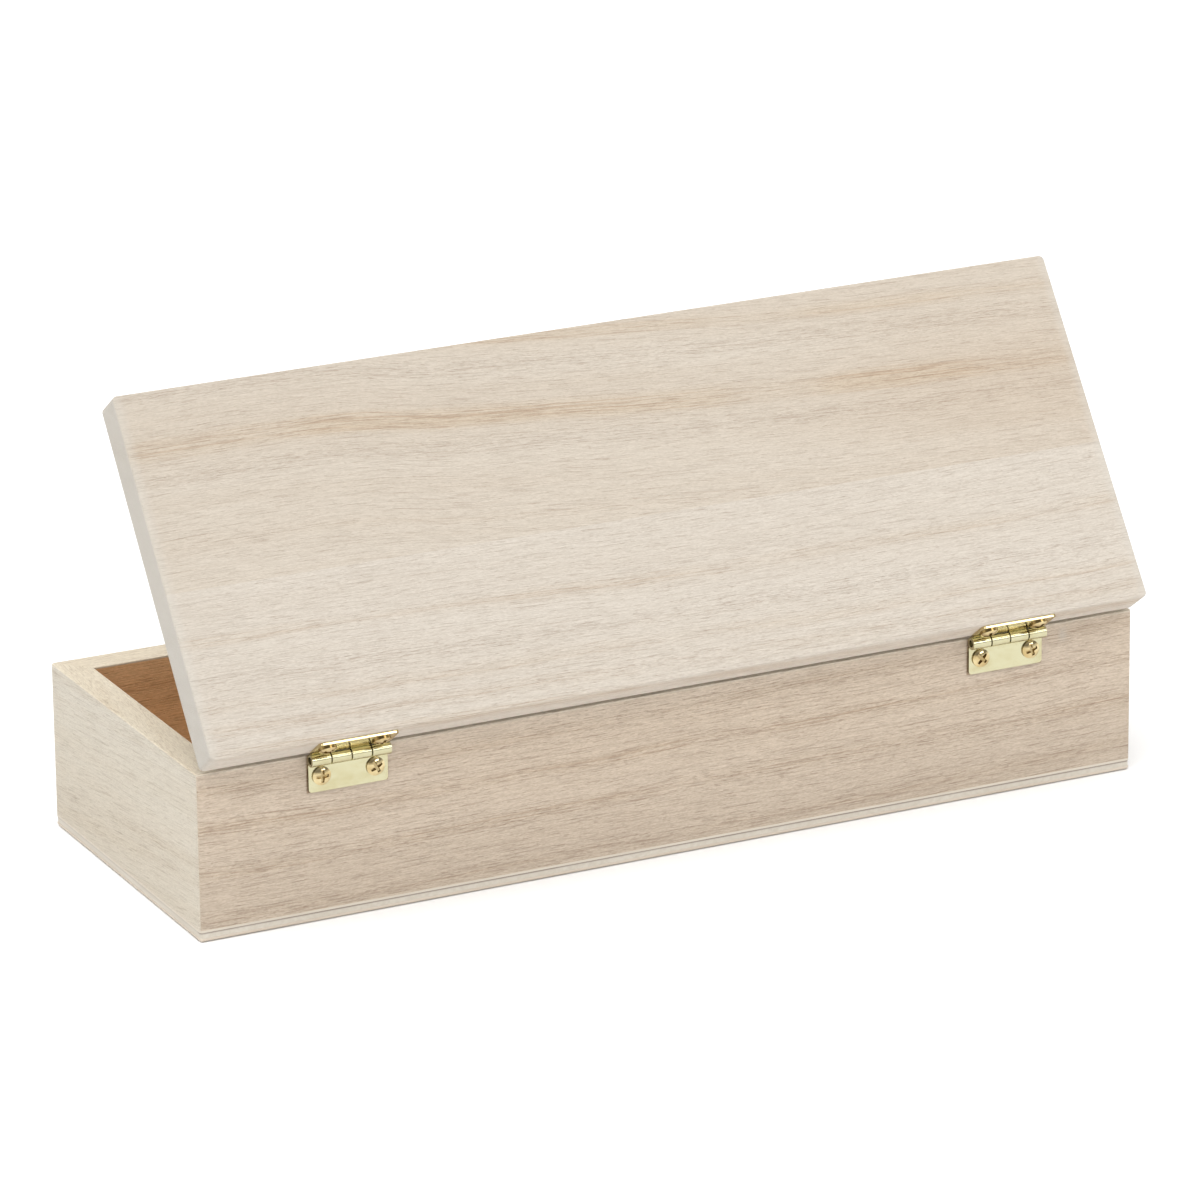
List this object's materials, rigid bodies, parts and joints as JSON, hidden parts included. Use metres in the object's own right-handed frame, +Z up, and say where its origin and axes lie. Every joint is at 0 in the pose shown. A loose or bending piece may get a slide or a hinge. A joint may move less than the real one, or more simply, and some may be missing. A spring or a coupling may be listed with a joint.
{
  "type": "wooden toy box",
  "caption": "Long low lidded box of plain light wood, plywood bottom, thick flat lid on small brass hinges, shown with the lid standing open.",
  "frame": {"origin": "centre of the box's underside, on the surface the box stands on", "axes": "+Z up, X along the box, +Y towards the back wall that carries the hinges, so the lid opens towards +Y"},
  "size_m": [0.3, 0.1159, 0.145],
  "materials": {
    "paulownia_walls": "bare sanded paulownia",
    "paulownia_lid_front": "bare sanded paulownia with brown streaks",
    "paulownia_lid_rear": "bare sanded paulownia, pale",
    "plywood_bottom": "bare three-ply plywood",
    "hinge_brass": "polished pale brass plate",
    "screw_brass": "brass-plated, a little darker",
    "pin_steel": "plain drawn steel"
  },
  "bodies": {
    "box": {"front_wall": "paulownia_walls", "back_wall": "paulownia_walls", "left_wall": "paulownia_walls", "right_wall": "paulownia_walls", "bottom_panel": "plywood_bottom", "right_hinge_box_leaf": "hinge_brass", "right_hinge_box_screw_outer": "screw_brass", "right_hinge_box_screw_inner": "screw_brass", "right_hinge_pin": "pin_steel", "left_hinge_box_leaf": "hinge_brass", "left_hinge_box_screw_outer": "screw_brass", "left_hinge_box_screw_inner": "screw_brass", "left_hinge_pin": "pin_steel"},
    "lid": {"lid_front_board": "paulownia_lid_front", "lid_rear_board": "paulownia_lid_rear", "right_hinge_lid_leaf": "hinge_brass", "right_hinge_lid_screw_outer": "screw_brass", "right_hinge_lid_screw_inner": "screw_brass", "left_hinge_lid_leaf": "hinge_brass", "left_hinge_lid_screw_outer": "screw_brass", "left_hinge_lid_screw_inner": "screw_brass"}
  },
  "joints": [
    {"name": "lid_hinge", "type": "hinge", "parent": "box", "child": "lid", "pos_m": [0, 0.05505, 0.049], "axis": [-1, 0, 0], "range_deg": [-54, 116]}
  ]
}
